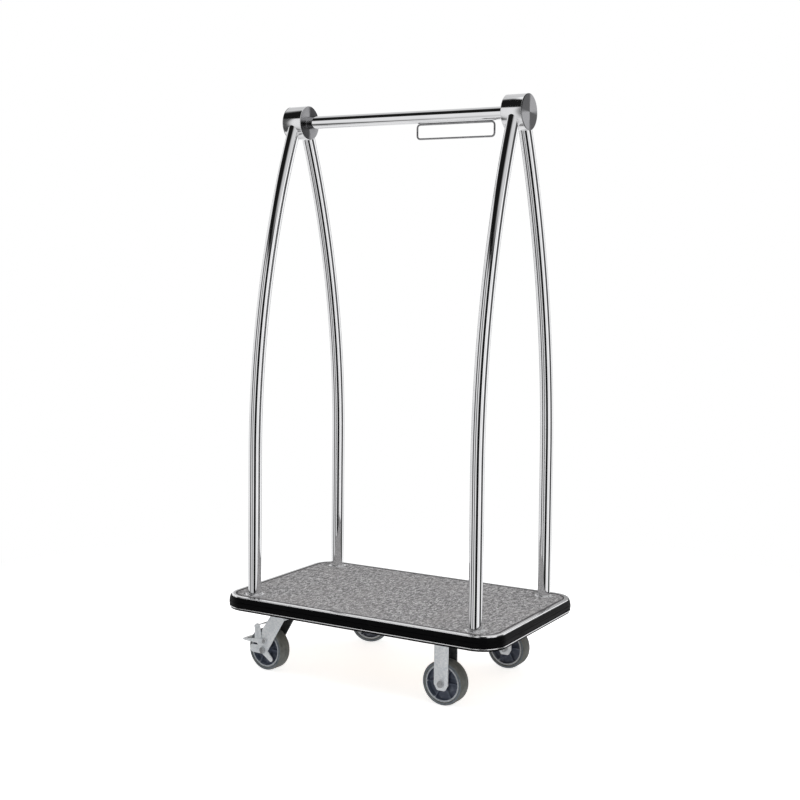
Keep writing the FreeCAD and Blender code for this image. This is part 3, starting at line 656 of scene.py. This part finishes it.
class Recipe:
    """A geometry node group whose inputs are named sizes."""

    def __init__(self, name, sizes):
        self.tree = bpy.data.node_groups.new(name, "GeometryNodeTree")
        face = self.tree.interface
        face.new_socket("Geometry", in_out="INPUT", socket_type="NodeSocketGeometry")
        self.ids = {}
        for label, (kind, value) in sizes.items():
            socket = face.new_socket(label, in_out="INPUT", socket_type=kind)
            if value is not None:
                socket.default_value = value
            self.ids[label] = socket.identifier
        face.new_socket("Geometry", in_out="OUTPUT", socket_type="NodeSocketGeometry")
        self.start = self.tree.nodes.new("NodeGroupInput")
        self.end = self.tree.nodes.new("NodeGroupOutput")

    def given(self, label):
        return self.start.outputs[label]

    def add(self, kind, settings=None, inputs=None, output=0):
        node = self.tree.nodes.new(kind)
        for name, setting in (settings or {}).items():
            setattr(node, name, setting)
        for name, value in (inputs or {}).items():
            if isinstance(value, bpy.types.NodeSocket):
                self.tree.links.new(value, node.inputs[name])
            else:
                node.inputs[name].default_value = value
        return node.outputs[output]

    def close(self, geometry, finish):
        """End in real meshes with the finish set."""
        real = self.add("GeometryNodeRealizeInstances", {}, {"Geometry": geometry})
        done = self.add("GeometryNodeSetMaterial", {}, {"Geometry": real, "Material": FINISHES[finish]})
        self.tree.links.new(done, self.end.inputs[0])

    def make(self, name, source, finish, values):
        """Run the group on a source object and keep the result as a plain mesh."""
        modifier = source.modifiers.new("recipe", "NODES")
        modifier.node_group = self.tree
        for label, value in values.items():
            modifier[self.ids[label]] = value
        mesh = baked(source)
        data = source.data
        bpy.data.objects.remove(source)
        (bpy.data.curves if isinstance(data, bpy.types.Curve) else bpy.data.meshes).remove(data)
        return new_piece(name, turned_outwards(mesh), finish)


def path_object(points, closed=False):
    """A straight-run curve through the points."""
    curve = bpy.data.curves.new("path", "CURVE")
    curve.dimensions = "3D"
    spline = curve.splines.new("POLY")
    spline.points.add(len(points) - 1)
    for spot, point in zip(spline.points, points):
        spot.co = (*point, 1)
    spline.use_cyclic_u = closed
    return placed("path", curve)


def points_object(points):
    """A mesh of bare points."""
    mesh = bpy.data.meshes.new("points")
    mesh.from_pydata([tuple(point) for point in points], [], [])
    return placed("points", mesh)


def tube_recipe():
    """A round tube that follows a path."""
    recipe = Recipe("tube_along_path", {"Radius": ("NodeSocketFloat", 0.02), "Sides": ("NodeSocketInt", 48)})
    ring = recipe.add("GeometryNodeCurvePrimitiveCircle", {},
                      {"Radius": recipe.given("Radius"), "Resolution": recipe.given("Sides")})
    tube = recipe.add("GeometryNodeCurveToMesh", {},
                      {"Curve": recipe.given("Geometry"), "Profile Curve": ring, "Fill Caps": True})
    recipe.close(tube, "polished_steel")
    return recipe


def scatter_recipe(name, finish):
    """One shape set on every point."""
    recipe = Recipe(name, {"Shape": ("NodeSocketObject", None)})
    shape = recipe.add("GeometryNodeObjectInfo", {}, {"Object": recipe.given("Shape")}, "Geometry")
    spread = recipe.add("GeometryNodeInstanceOnPoints", {},
                        {"Points": recipe.given("Geometry"), "Instance": shape})
    recipe.close(spread, finish)
    return recipe


# ---- arches, drums and bar ----

def leg_path(node):
    """Straight up from the rail, then one long arc to inside the drum."""
    low, high = BOXES[node]
    radius = size(node).x / 2
    sign = 1 if high[1] > -low[1] else -1
    foot_y = max(high[1], -low[1]) - radius
    x = (low[0] + high[0]) / 2
    top = middle("top_bar").z - LEG_TOP_DROP
    straight_steps = 6
    points = [Vector((x, sign * foot_y, low[2]))]
    points += [Vector((x, sign * foot_y, low[2] + (BEND_START - low[2]) * k / straight_steps))
               for k in range(1, straight_steps)]
    sweep = math.asin((top - BEND_START) / BEND_RADIUS)
    arc_steps = 40
    for step in range(arc_steps + 1):
        angle = sweep * step / arc_steps
        y = foot_y - BEND_RADIUS * (1 - math.cos(angle))
        points.append(Vector((x, sign * y, BEND_START + BEND_RADIUS * math.sin(angle))))
    return points


def cope(piece, path):
    """Slide a tube's top rim along the tube until it meets its drum."""
    end = path[-1]
    ahead = (end - path[-2]).normalized()
    axis_z = middle("top_bar").z
    sunk = 0.0001
    near_rim = 0.0005
    radius = size("drum_cap_left").z / 2 - sunk
    for spot in piece.data.vertices:
        if abs((spot.co - end).dot(ahead)) < near_rim:
            y, z = spot.co.y, spot.co.z - axis_z
            along = y * ahead.y + z * ahead.z
            spot.co -= ahead * (along + math.sqrt(along * along - (y * y + z * z - radius * radius)))


def make_tubes():
    """Legs, top bar and rod loop."""
    recipe = tube_recipe()
    for side, end in CORNERS:
        node = f"leg_{side}_{end}"
        values = {"Radius": size(node).x / 2, "Sides": 64}
        path = leg_path(node)
        piece = recipe.make(f"{node}_tube", path_object(path), "polished_steel", values)
        cope(piece, path)
        show(piece, "cart_frame", node)
    low, high = BOXES["top_bar"]
    spot = middle("top_bar")
    ends = [Vector((low[0], 0, spot.z)), Vector((high[0], 0, spot.z))]
    run = [ends[0].lerp(ends[1], k / 12) for k in range(13)]
    values = {"Radius": size("top_bar").z / 2, "Sides": 64}
    bar = recipe.make("top_bar_tube", path_object(run), "polished_steel", values)
    show(bar, "cart_frame", "top_bar")

    low, high = BOXES["hanger_loop"]
    radius = size("hanger_loop").y / 2
    sunk = 0.0003
    top = BOXES["top_bar"][0][2] - radius + sunk
    outline = [(low[0] + radius, low[2] + radius), (high[0] - radius, low[2] + radius),
               (high[0] - radius, top), (low[0] + radius, top)]
    bent = [Vector((x, 0, z)) for x, z in round_corners(outline, LOOP_CORNER, 10)]
    values = {"Radius": radius, "Sides": 24}
    loop = recipe.make("hanger_loop_rod", path_object(bent, True), "loop_steel", values)
    show(loop, "cart_frame", "hanger_loop")


def make_drums():
    """Drum walls with their inner ends, and the outer caps with a fine seam."""
    bar_radius = size("top_bar").z / 2
    axis_z = middle("top_bar").z
    for end, sign in zip(ENDS, (-1, 1)):
        shell_low, shell_high = BOXES[f"drum_shell_{end}"]
        cap_low, cap_high = BOXES[f"drum_cap_{end}"]
        inner = min(abs(shell_low[0]), abs(shell_high[0]))
        seam = max(abs(shell_low[0]), abs(shell_high[0]))
        outer = max(abs(cap_low[0]), abs(cap_high[0]))
        radius = size(f"drum_cap_{end}").z / 2
        hollow = radius - DRUM_WALL
        shell = [(inner, bar_radius), (inner, radius - CAP_CHAMFER), (inner + CAP_CHAMFER, radius),
                 (seam - 0.0005, radius), (seam, radius - 0.0005), (seam, hollow),
                 (inner + DRUM_WALL, hollow), (inner + DRUM_WALL, bar_radius)]
        mesh = lathe(round_corners(shell, 0.0004, 3), (0, 0, axis_z), ALONG * sign, 160)
        piece = new_piece(f"drum_shell_{end}_sheet", mesh, "polished_drum")
        second_finish(piece, "spun_end", lambda face: abs(face.normal.x) > 0.95)
        show(piece, "cart_frame", f"drum_shell_{end}")
        cap_radius = radius - 0.0002
        cap = [(seam, 0.0), (outer - 0.0003, 0.0), (outer, CAP_DISH), (outer, radius - CAP_CHAMFER * 1.6),
               (outer - CAP_CHAMFER, cap_radius), (seam + 0.0004, cap_radius), (seam, radius - 0.0008),
               (seam, hollow)]
        mesh = lathe(cap, (0, 0, axis_z), ALONG * sign, 160)
        piece = new_piece(f"drum_cap_{end}_disc", mesh, "spun_cap")
        show(piece, "cart_frame", f"drum_cap_{end}")


# ---- platform ----

def make_edging():
    """Stainless edging, rubber bumper and the bright strip set in it."""
    lip_top = BOXES["edge_trim"][1].z
    carpet_top = lip_top - TRIM_THICK
    bumper_low, bumper_high = BOXES["bumper"]
    base, top = bumper_low[2], bumper_high[2]
    fold = top + 0.0002
    lip = [(-TRIM_WALL, base), (0, base), (0, fold), (TRIM_FOLD, fold), (TRIM_FOLD, lip_top),
           (-TRIM_LIP, lip_top), (-TRIM_LIP, carpet_top), (-TRIM_WALL, carpet_top)]
    folded = edge_strip(round_corners(lip, 0.0009, 4))
    piece = new_piece("edge_trim_folded", folded, "edging_steel", EASED_CREASE)
    show(piece, "cart_frame", "edge_trim")

    bulge = size("bumper").x / 2 - size("edge_trim").x / 2 + TRIM_FOLD
    strip_low, strip_high = BOXES["bumper_strip"]
    face_points = []
    steps = 36
    for step in range(steps + 1):
        t = step / steps
        height = base + (top - base) * t
        outward = BUMPER_LIP + (bulge - BUMPER_LIP) * (1 - (2 * t - 1) ** 2)
        for third in (1 / 3, 2 / 3):
            outward -= GROOVE_DEPTH * math.exp(-((t - third) / GROOVE_SPREAD) ** 2)
        if strip_low[2] <= height <= strip_high[2]:
            outward = STRIP_SLOT
        face_points.append((outward, height))
    section = [(0, top), (0, base)] + face_points
    piece = new_piece("bumper_extrusion", edge_strip(section), "black_rubber", EASED_CREASE)
    show(piece, "cart_frame", "bumper")

    half = size("bumper_strip").x / 2 - size("edge_trim").x / 2 + TRIM_FOLD
    strip = [(STRIP_BACK, strip_low[2]), (half, strip_low[2]), (half, strip_high[2]),
             (STRIP_BACK, strip_high[2])]
    bright = edge_strip(round_corners(strip, 0.0009, 4))
    piece = new_piece("bumper_strip_bright", bright, "edging_steel", EASED_CREASE)
    show(piece, "cart_frame", "bumper_strip")


def inside_platform(x, y, inset):
    """Signed distance into the platform's rounded outline, positive inside."""
    half_x, half_y = (size("edge_trim") / 2)[:2]
    radius = CORNER_RADIUS - inset
    over_x = abs(x) - (half_x - TRIM_FOLD - inset - radius)
    over_y = abs(y) - (half_y - TRIM_FOLD - inset - radius)
    outside = math.hypot(max(over_x, 0), max(over_y, 0)) + min(max(over_x, over_y), 0)
    return radius - outside


def make_carpet():
    """Loop pile: a closed slab whose top rises and falls loop by loop and dips under the edging's lip."""
    low, high = BOXES["carpet"]
    pressed = BOXES["edge_trim"][1].z - TRIM_THICK - 0.0002
    columns = int((high[0] - low[0]) / PILE_PITCH)
    rows = int((high[1] - low[1]) / PILE_PITCH)
    rng = random.Random(11)
    index = {}
    points = []
    for row in range(rows + 1):
        for column in range(columns + 1):
            x = low[0] + (high[0] - low[0]) * column / columns
            y = low[1] + (high[1] - low[1]) * row / rows
            depth = inside_platform(x, y, TRIM_WALL)
            if depth < PILE_MARGIN:
                continue
            swell = min(max((depth - TRIM_LIP + TRIM_WALL) / PILE_RISE, 0), 1)
            loop = LOOP_HEIGHT * ((row + column) % 2) + rng.uniform(0, LOOP_UNEVEN)
            index[row, column] = len(points)
            points.append(Vector((x, y, pressed + swell * (high.z - 0.0001 - pressed + loop))))
    top_count = len(points)
    points += [Vector((point.x, point.y, low[2])) for point in points]
    faces = []
    edges = []
    for row, column in index:
        ring = [index.get((row + up, column + right)) for up, right in ((0, 0), (0, 1), (1, 1), (1, 0))]
        if None in ring:
            continue
        faces.append(tuple(ring))
        faces.append(tuple(top_count + k for k in reversed(ring)))
        edges += zip(ring, ring[1:] + ring[:1])
    known = set(edges)
    faces += [(end, start, top_count + start, top_count + end)
              for start, end in edges if (end, start) not in known]
    mesh = bpy.data.meshes.new("shape")
    mesh.from_pydata([tuple(point) for point in points], [], faces)
    work = bmesh.new()
    work.from_mesh(mesh)
    bmesh.ops.delete(work, geom=[vert for vert in work.verts if not vert.link_faces], context="VERTS")
    bmesh.ops.recalc_face_normals(work, faces=work.faces)
    work.to_mesh(mesh)
    work.free()
    piece = new_piece("carpet_pile_mat", mesh, "carpet_pile", PILE_CREASE)
    show(piece, "cart_frame", "carpet")


def screw_shape():
    """A pan head with a cross recess, standing on the origin."""
    rings = 9
    segments = 32
    height = SCREW_RADIUS * 0.62
    slot_half = SCREW_RADIUS * 0.16
    slot_reach = SCREW_RADIUS * 0.6
    points = [Vector((0, 0, 0))]
    for ring in range(rings + 1):
        radius = SCREW_RADIUS * (ring / rings)
        for turn in range(segments):
            angle = 2 * math.pi * turn / segments
            x, y = radius * math.cos(angle), radius * math.sin(angle)
            z = height * math.sqrt(max(0.0, 1 - (ring / rings) ** 3))
            narrow = min(abs(x), abs(y))
            reach = max(abs(x), abs(y))
            if narrow < slot_half and reach < slot_reach:
                z -= height * 0.6
            points.append(Vector((x, y, z)))
    faces = []
    for ring in range(rings):
        for turn in range(segments):
            a = 1 + ring * segments + turn
            b = 1 + ring * segments + (turn + 1) % segments
            faces.append((a, b, b + segments, a + segments))
    rim = 1 + rings * segments
    faces += [(0, rim + (turn + 1) % segments, rim + turn) for turn in range(segments)]
    return placed("screw", mesh_from(points, faces))


def make_feet():
    """Rosettes round the legs' feet and their screws."""
    seats = []
    for side, end in CORNERS:
        node = f"foot_flange_{side}_{end}"
        spot = middle(node)
        low = BOXES[node][0][2]
        top = BOXES[node][1][2]
        face = low + FLANGE_THICK
        rim = size(node).x / 2
        bore = size(f"leg_{side}_{end}").x / 2
        outline = [(low, bore), (low, rim), (low + FLANGE_EDGE, rim), (face, rim - FLANGE_EDGE),
                   (face, COLLAR_RADIUS + 0.0018), (face + 0.002, COLLAR_RADIUS),
                   (top - 0.0008, COLLAR_RADIUS), (top, COLLAR_RADIUS - FLANGE_EDGE), (top, bore)]
        mesh = lathe(round_corners(outline, 0.0006, 3), (spot.x, spot.y, 0), UP, 96)
        show(new_piece(f"{node}_rosette", mesh, "rosette_steel"), "cart_frame", node)
        for quarter in range(4):
            angle = math.radians(90 * quarter)
            out = Vector((math.cos(angle), math.sin(angle), 0)) * SCREW_CIRCLE
            seats.append(Vector((spot.x, spot.y, face)) + out)
    shape = screw_shape()
    recipe = scatter_recipe("screws_on_rosettes", "polished_drum")
    piece = recipe.make("foot_screw_heads", points_object(seats), "polished_drum", {"Shape": shape})
    bpy.data.objects.remove(shape)
    show(piece, "cart_frame", "foot_screws")


# ---- casters ----

def make_tyres():
    """Treads with round shoulders and a faint mould line."""
    steps = 8
    chamfer = 0.002
    seam_half = 0.0006
    for side, end in CORNERS:
        joint = JOINTS[f"wheel_{side}_{end}_spin"]
        node = f"tyre_{side}_{end}"
        radius = size(node).z / 2
        outline = [(-TREAD_HALF, TREAD_INNER + chamfer),
                   (-TREAD_HALF + 0.0004, radius - TREAD_ROUND - 0.001)]
        for step in range(steps + 1):
            angle = math.radians(90 * step / steps)
            outline.append((-TREAD_HALF + TREAD_ROUND * (1 - math.cos(angle)),
                            radius - TREAD_ROUND * (1 - math.sin(angle))))
        outline += [(-seam_half, radius), (0, radius - 0.0005), (seam_half, radius)]
        outline += [(-along, out) for along, out in reversed(outline[1:-3])]
        outline += [(TREAD_HALF, TREAD_INNER + chamfer), (TREAD_HALF - chamfer, TREAD_INNER),
                    (-TREAD_HALF + chamfer, TREAD_INNER)]
        mesh = lathe(outline, joint["pos_m"], joint["axis"], 128)
        piece = new_piece(f"{node}_tread", mesh, "grey_tread")
        axis = Vector(joint["axis"])
        second_finish(piece, "tyre_side", lambda face: abs(face.normal.dot(axis)) > 0.85)
        show(piece, body_of(node), node)


def paint_rim(piece, centre):
    """The rim's finish on the hub's outermost faces."""
    def on_rim(face):
        corners = (piece.data.vertices[index].co for index in face.vertices)
        return min((corner - centre).length for corner in corners) > RIM_INNER

    second_finish(piece, "rubbed_rim", on_rim)


def paint_inside(piece, node):
    """Painted shade on the faces of a fork that look at its wheel."""
    kind, _, side = node.split("_")
    end = {"rigid": "right", "swivel": "left"}[kind]
    joint = JOINTS[f"wheel_{side}_{end}_spin"]
    hub = Vector(joint["pos_m"])
    axis = Vector(joint["axis"]).normalized()

    def looks_in(face):
        along = (face.center - hub).dot(axis)
        return face.normal.dot(axis) * along < -0.9 * abs(along)

    second_finish(piece, "painted_shade_zinc", looks_in)


def make_fittings():
    """Forks, plates, axles, brakes, hubs and rails: joined and eased copies of the CAD pieces."""
    eased = {"rigid_fork": ("zinc_plate", 0.0009), "swivel_fork": ("zinc_plate", 0.0009),
             "swivel_plate": ("zinc_plate", 0.0006), "brake_plates": ("zinc_plate", 0.0005),
             "brake_pedal": ("zinc_plate", 0.0006), "brake_pins": ("fastener_steel", 0.0004),
             "rigid_axle": ("fastener_steel", 0.0003), "swivel_axle": ("fastener_steel", 0.0003),
             "kingpin": ("fastener_steel", 0.0005), "wheel_hub": ("moulded_hub", 0.0006),
             "wheel_bearing": ("bearing_plastic", 0.0003), "caster_": ("fastener_steel", 0.0002),
             "side_rail": ("painted_rail", 0.0012), "cross_rail": ("painted_rail", 0.0012),
             "deck_board": ("plywood", 0.0008)}
    for node in sorted(frame["nodes"]):
        for start, (finish, bevel) in eased.items():
            if node.startswith(start):
                piece = dressed(node, finish, bevel)
                if start == "wheel_hub":
                    paint_rim(piece, middle(node))
                if start in ("rigid_fork", "swivel_fork"):
                    paint_inside(piece, node)
                show(piece, body_of(node), node)
                break


make_tubes()
make_drums()
make_edging()
make_carpet()
make_feet()
make_tyres()
make_fittings()


# ---- stage, light and camera ----

def make_floor():
    """A plain pale floor, round, that fades into the white background."""
    mesh = bpy.data.meshes.new("floor")
    turns = [math.radians(angle) for angle in range(0, 360, 5)]
    rim = [(FLOOR_REACH * math.cos(turn), FLOOR_REACH * math.sin(turn), 0) for turn in turns]
    mesh.from_pydata(rim, [], [tuple(range(len(rim)))])
    floor = placed("floor", mesh)
    paint = bpy.data.materials.new("pale_floor")
    paint.use_nodes = True
    graph = Graph(paint.node_tree)
    where = graph.add("ShaderNodeTexCoord", output="Object")
    distance = graph.add("ShaderNodeVectorMath", {"operation": "LENGTH"}, {0: where}, "Value")
    fade = graph.span(distance, 0.7, 2.3)
    near = graph.add("ShaderNodeBsdfPrincipled", {},
                     {"Base Color": rgb(0.9, 0.9, 0.9), "Roughness": 0.7,
                      "Emission Color": rgb(1, 1, 1), "Emission Strength": FLOOR_GLOW})
    far = graph.add("ShaderNodeEmission", {}, {"Color": rgb(1, 1, 1), "Strength": 1.0})
    surface = graph.add("ShaderNodeMixShader", {}, {0: fade, 1: near, 2: far})
    graph.add("ShaderNodeOutputMaterial", {}, {"Surface": surface})
    mesh.materials.append(paint)
    floor.visible_glossy = False
    floor.visible_diffuse = False


def make_world(camera_yaw):
    """White studio whose screens have dark gaps between them and under the ceiling, for polished metal."""
    world = bpy.data.worlds.new("studio")
    world.use_nodes = True
    graph = Graph(world.node_tree)
    way = graph.add("ShaderNodeTexCoord", output="Generated")
    east = graph.add("ShaderNodeSeparateXYZ", {}, {"Vector": way}, "X")
    north = Value(graph, east.socket.node.outputs["Y"])
    rise = Value(graph, east.socket.node.outputs["Z"])
    # Bearing in degrees from straight behind the camera, positive towards its right
    side = east * math.cos(camera_yaw) - north * math.sin(camera_yaw)
    back = east * -math.sin(camera_yaw) - north * math.cos(camera_yaw)
    bearing = side.math("ARCTAN2", back) * (180 / math.pi)
    height = rise.math("ARCSINE") * (180 / math.pi)
    light = SCREEN_LIGHT
    # The upright gaps are dark up to about 30 degrees from their middle height, and nearly gone past 40
    level = graph.span(abs(height - GAP_MIDDLE), *GAP_REACH, 1.0, 0.1)
    for centre, half, dark in SCREEN_GAPS:
        near, far = half - GAP_SOFTNESS, half + GAP_SOFTNESS
        light = light * (1 - graph.span(abs(bearing - centre), near, far, dark, 0.0) * level)
    # The gap under the ceiling runs all the way round, and is weaker away from its bearing
    front = graph.span(abs(bearing - CEILING_BEARING), *CEILING_SPREAD, 1.0, 0.35)
    light = light * (1 - graph.span(abs(height - CEILING_GAP), *CEILING_REACH, 0.99, 0.0) * front)
    light = light * graph.span(height, *GROUND_DIMMING, 0.8, 1.0)
    shine = graph.add("ShaderNodeCombineColor", {}, {0: light, 1: light, 2: light * 1.01})
    seen = graph.add("ShaderNodeLightPath", output="Is Camera Ray")
    colour = graph.blend(seen, shine, rgb(1, 1, 1))
    ground = graph.add("ShaderNodeBackground", {}, {"Color": colour, "Strength": 1.0})
    graph.add("ShaderNodeOutputWorld", {}, {"Surface": ground})
    bpy.context.scene.world = world


def make_lights():
    """A wide overhead panel, a weak side panel and a low front one, all soft."""
    for name, place, width, power in PANELS:
        lamp = bpy.data.lights.new(name, "AREA")
        lamp.shape = "SQUARE"
        lamp.size = width
        lamp.energy = power
        panel = placed(name, lamp)
        panel.location = place
        panel.rotation_mode = "QUATERNION"
        panel.rotation_quaternion = (Vector(place) - PANEL_TARGET).to_track_quat("Z", "Y")
        panel.visible_glossy = False
        panel.visible_camera = False


def make_camera():
    """The viewing camera, a little above the platform and looking along it from its right end."""
    yaw, pitch, roll = (math.radians(angle) for angle in CAMERA_TURN)
    ahead = Vector((math.sin(yaw) * math.cos(pitch), math.cos(yaw) * math.cos(pitch), math.sin(pitch)))
    level = Vector((math.cos(yaw), -math.sin(yaw), 0))
    above = level.cross(ahead)
    right = level * math.cos(roll) + above * math.sin(roll)
    top = above * math.cos(roll) - level * math.sin(roll)
    data = bpy.data.cameras.new("view")
    data.sensor_width = 36.0
    data.lens = CAMERA_LENS
    data.shift_x, data.shift_y = CAMERA_SHIFT
    data.clip_end = 100.0
    camera = placed("view", data)
    turned = Matrix((right, top, -ahead)).transposed().to_4x4()
    camera.matrix_world = Matrix.Translation(CAMERA_PLACE) @ turned
    bpy.context.scene.camera = camera
    return yaw


make_floor()
make_world(make_camera())
make_lights()
bpy.context.scene.view_settings.view_transform = "Standard"
